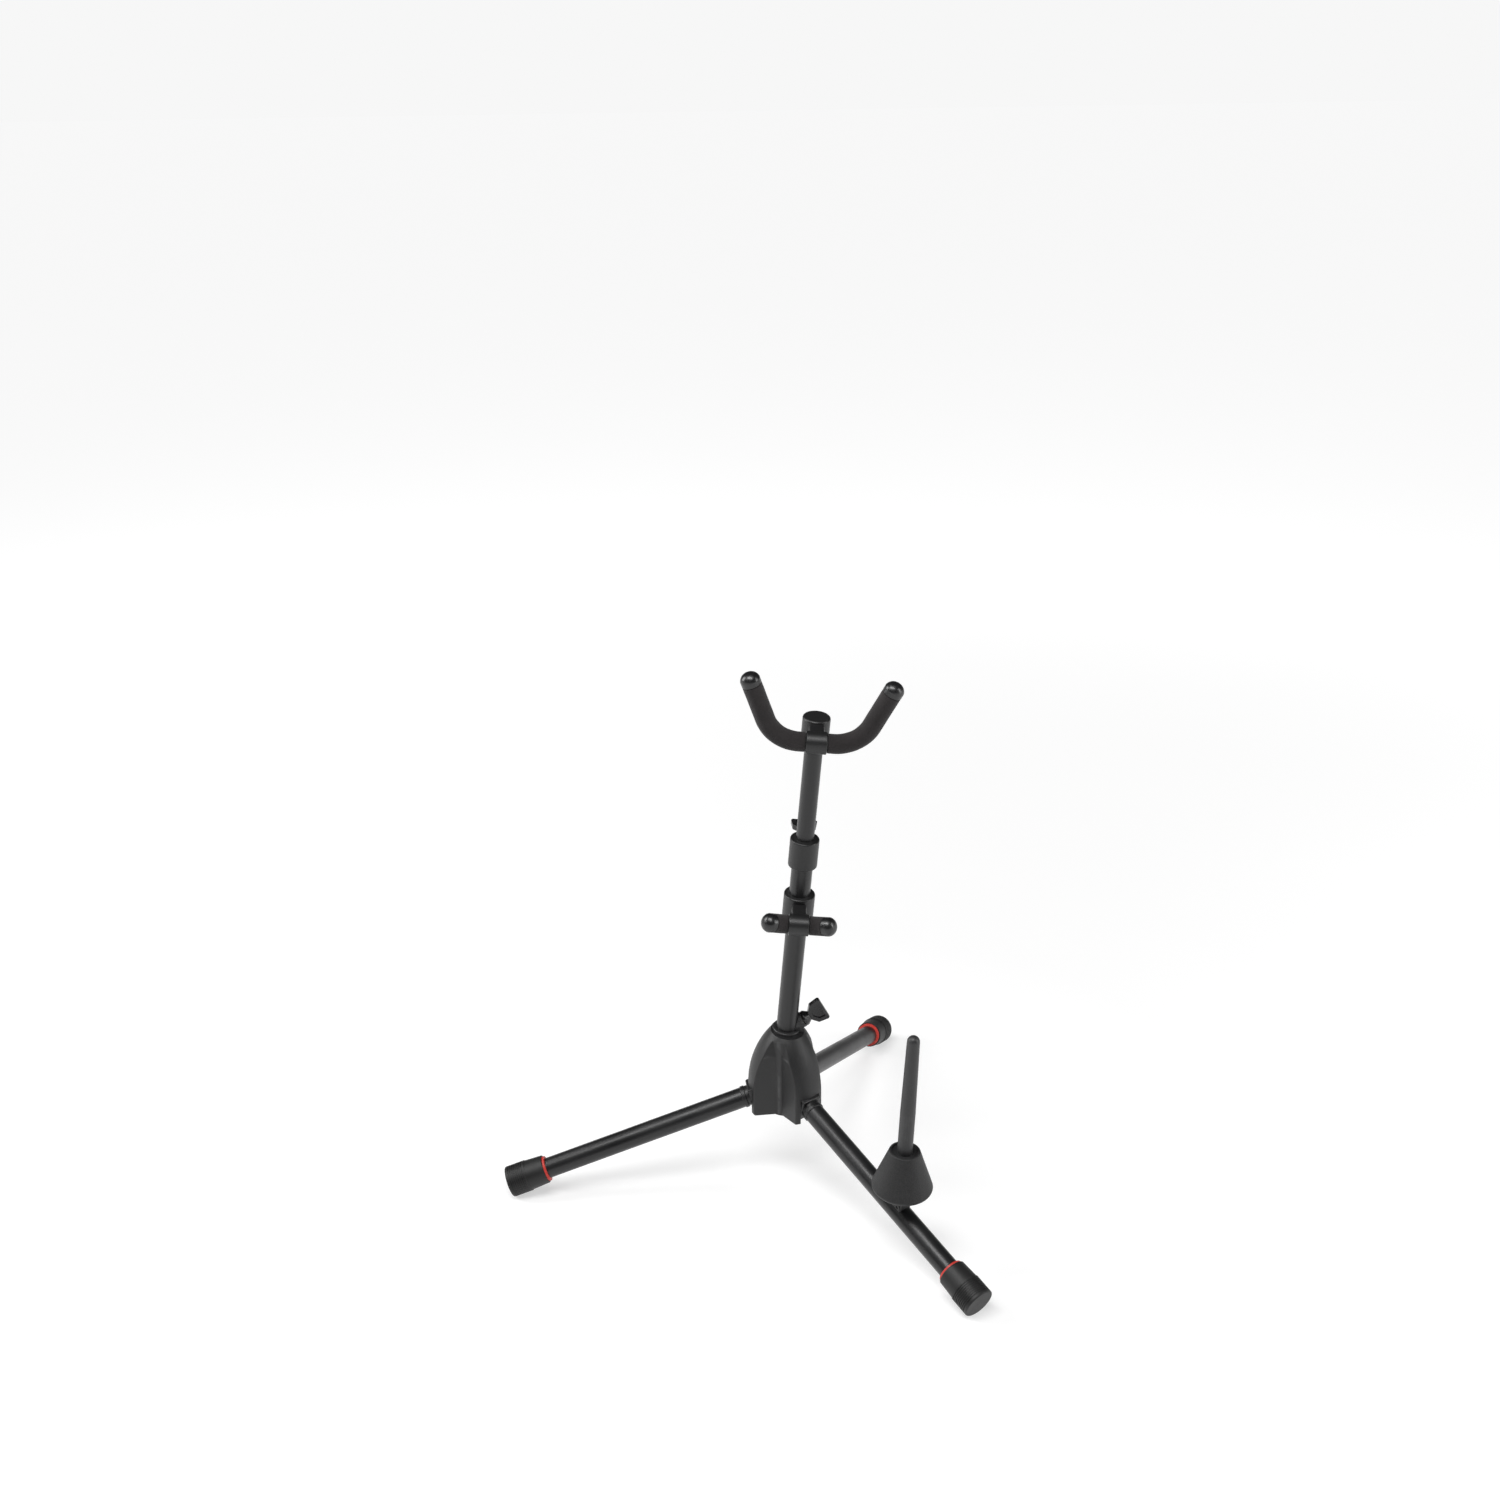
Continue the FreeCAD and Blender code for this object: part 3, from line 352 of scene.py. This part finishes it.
def sleeve_ring(mesh, rest, matrix, mirror, travel, radius_at):
    """One ring of vertices round the arm, square to it."""
    centre, direction = arm_point(rest, travel)
    inward = Vector((-direction.y, direction.x, 0.0))
    ring = []
    for j in range(SIDES):
        around = 2 * math.pi * j / SIDES
        reach = inward * math.sin(around) + Vector((0, 0, math.cos(around)))
        spot = centre + reach * radius_at(around)
        spot.x *= mirror
        ring.append(mesh.verts.new(matrix @ spot))
    return ring


def join_rings(mesh, first, second):
    for j in range(SIDES):
        k = (j + 1) % SIDES
        mesh.faces.new((first[j], first[k], second[k], second[j]))


def sleeve_mesh(rest, mirror, seed):
    """Outer skin, flat ends and bore, as one closed mesh."""
    end = rest.flat + rest.bend * rest.angle + rest.straight
    length = end - FOAM_START
    ring_count = max(24, int(length / RING_STEP))
    mesh = bmesh.new()
    matrix = rest_matrix(rest)

    def bore_ring(travel):
        return sleeve_ring(mesh, rest, matrix, mirror, travel, lambda around: ROD_R)

    skin = []
    for i in range(ring_count + 1):
        part = i / ring_count
        part -= math.sin(2 * math.pi * part) / (2 * math.pi) * END_CROWDING
        travel = FOAM_START + length * part
        skin.append(sleeve_ring(mesh, rest, matrix, mirror, travel,
                                lambda around: foam_radius(rest, travel, end, around, seed)))
    first_bore, last_bore = bore_ring(FOAM_START), bore_ring(end)
    for first, second in zip([first_bore] + skin, skin + [last_bore]):
        join_rings(mesh, first, second)
    previous = first_bore
    for i in range(1, BORE_RINGS):
        ring = bore_ring(FOAM_START + length * i / BORE_RINGS)
        join_rings(mesh, ring, previous)
        previous = ring
    join_rings(mesh, last_bore, previous)
    bmesh.ops.recalc_face_normals(mesh, faces=mesh.faces)
    return mesh


def foam_sleeve(rest, left, material, seed):
    side = "left" if left else "right"
    mesh = sleeve_mesh(rest, -1.0 if left else 1.0, seed)
    data = bpy.data.meshes.new(f"{rest.name}_sleeve_{side}")
    mesh.to_mesh(data)
    mesh.free()
    for face in data.polygons:
        face.use_smooth = True
    piece = bpy.data.objects.new(f"{rest.name}_sleeve_{side}", data)
    bpy.context.scene.collection.objects.link(piece)
    data.materials.append(material)
    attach(piece, rest.body)
    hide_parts(f"{rest.name}_foam_{side}")


# ---- Stage ----
def make_floor():
    """A wide light table: a soft glow that grows with the distance from the stand."""
    size = FLOOR_HALF_SIZE
    data = bpy.data.meshes.new("studio_floor")
    data.from_pydata([(-size, -size, 0), (size, -size, 0), (size, size, 0), (-size, size, 0)],
                     [], [(0, 1, 2, 3)])
    floor = bpy.data.objects.new("studio_floor", data)
    bpy.context.scene.collection.objects.link(floor)
    s = Shader("studio_table")
    tone = s.colours(s.remap(s.noise(1.2, 3.0), 0.3, 0.7, 0.0, 1.0), (0.50, 0.50, 0.50),
                     (0.52, 0.52, 0.52))
    s.link(tone, s.bsdf.inputs["Base Color"])
    distance = s.node("ShaderNodeVectorMath", operation="LENGTH")
    s.link(s.place, distance.inputs[0])
    glow = s.remap(distance.outputs["Value"], 0.5, 2.2, FLOOR_GLOW, FAR_FLOOR_GLOW)
    s.link(glow, s.bsdf.inputs["Emission Strength"])
    s.set(Roughness=0.5, Specular_IOR_Level=0.2, Emission_Color=(1.0, 1.0, 1.0, 1.0))
    data.materials.append(s.material)


def area_light(name, place, target, size, power):
    light = bpy.data.lights.new(name, "AREA")
    light.shape = "RECTANGLE"
    light.size, light.size_y = size
    light.energy = power
    lamp = bpy.data.objects.new(name, light)
    bpy.context.scene.collection.objects.link(lamp)
    lamp.location = place
    lamp.rotation_euler = (Vector(target) - Vector(place)).to_track_quat("-Z", "Y").to_euler()


def make_lights():
    """A dim room with a white backdrop, and softboxes above, left and right."""
    world = bpy.data.worlds.new("studio_air")
    world.use_nodes = True
    tree = world.node_tree
    sky = tree.nodes["Background"]
    sky.inputs["Color"].default_value = (1.0, 1.0, 1.0, 1.0)
    path = tree.nodes.new("ShaderNodeLightPath")
    level = tree.nodes.new("ShaderNodeMapRange")
    level.inputs["To Min"].default_value = ROOM_LEVEL
    level.inputs["To Max"].default_value = BACKDROP_LEVEL
    tree.links.new(path.outputs["Is Camera Ray"], level.inputs["Value"])
    tree.links.new(level.outputs["Result"], sky.inputs["Strength"])
    bpy.context.scene.world = world
    bpy.context.scene.view_settings.view_transform = "Standard"
    middle = (0.0, 0.0, 0.22)
    area_light("soft_top", (-0.35, -0.75, 2.0), middle, (1.5, 0.7), 34.0)
    area_light("soft_left", (-1.9, 0.25, 1.35), middle, (0.8, 1.3), 30.0)
    area_light("soft_right", (1.8, -0.5, 1.0), middle, (0.5, 1.4), 16.0)


# ---- Camera ----
def make_camera():
    pitch = math.radians(21.26)
    roll = math.radians(0.88)
    ahead = Vector((0.0, math.cos(pitch), -math.sin(pitch)))
    right = Vector((1.0, 0.0, 0.0))
    down = Vector((0.0, -math.sin(pitch), -math.cos(pitch)))
    rolled_right = right * math.cos(roll) + down * math.sin(roll)
    rolled_down = down * math.cos(roll) - right * math.sin(roll)
    axes = Matrix((rolled_right, -rolled_down, -ahead)).transposed().to_4x4()
    data = bpy.data.cameras.new("camera")
    data.sensor_width = 36.0
    data.lens = 41.376
    data.clip_start = 0.05
    camera = bpy.data.objects.new("camera", data)
    bpy.context.scene.collection.objects.link(camera)
    camera.matrix_world = Matrix.Translation((-0.030, -1.404, 0.9836)) @ axes
    bpy.context.scene.camera = camera


MATERIALS = make_materials()
dress_cad_nodes(MATERIALS)
for number, rest in enumerate(RESTS):
    foam_sleeve(rest, False, MATERIALS["foam"], 10.0 * number + 1.0)
    foam_sleeve(rest, True, MATERIALS["foam"], 10.0 * number + 6.0)
make_floor()
make_lights()
make_camera()
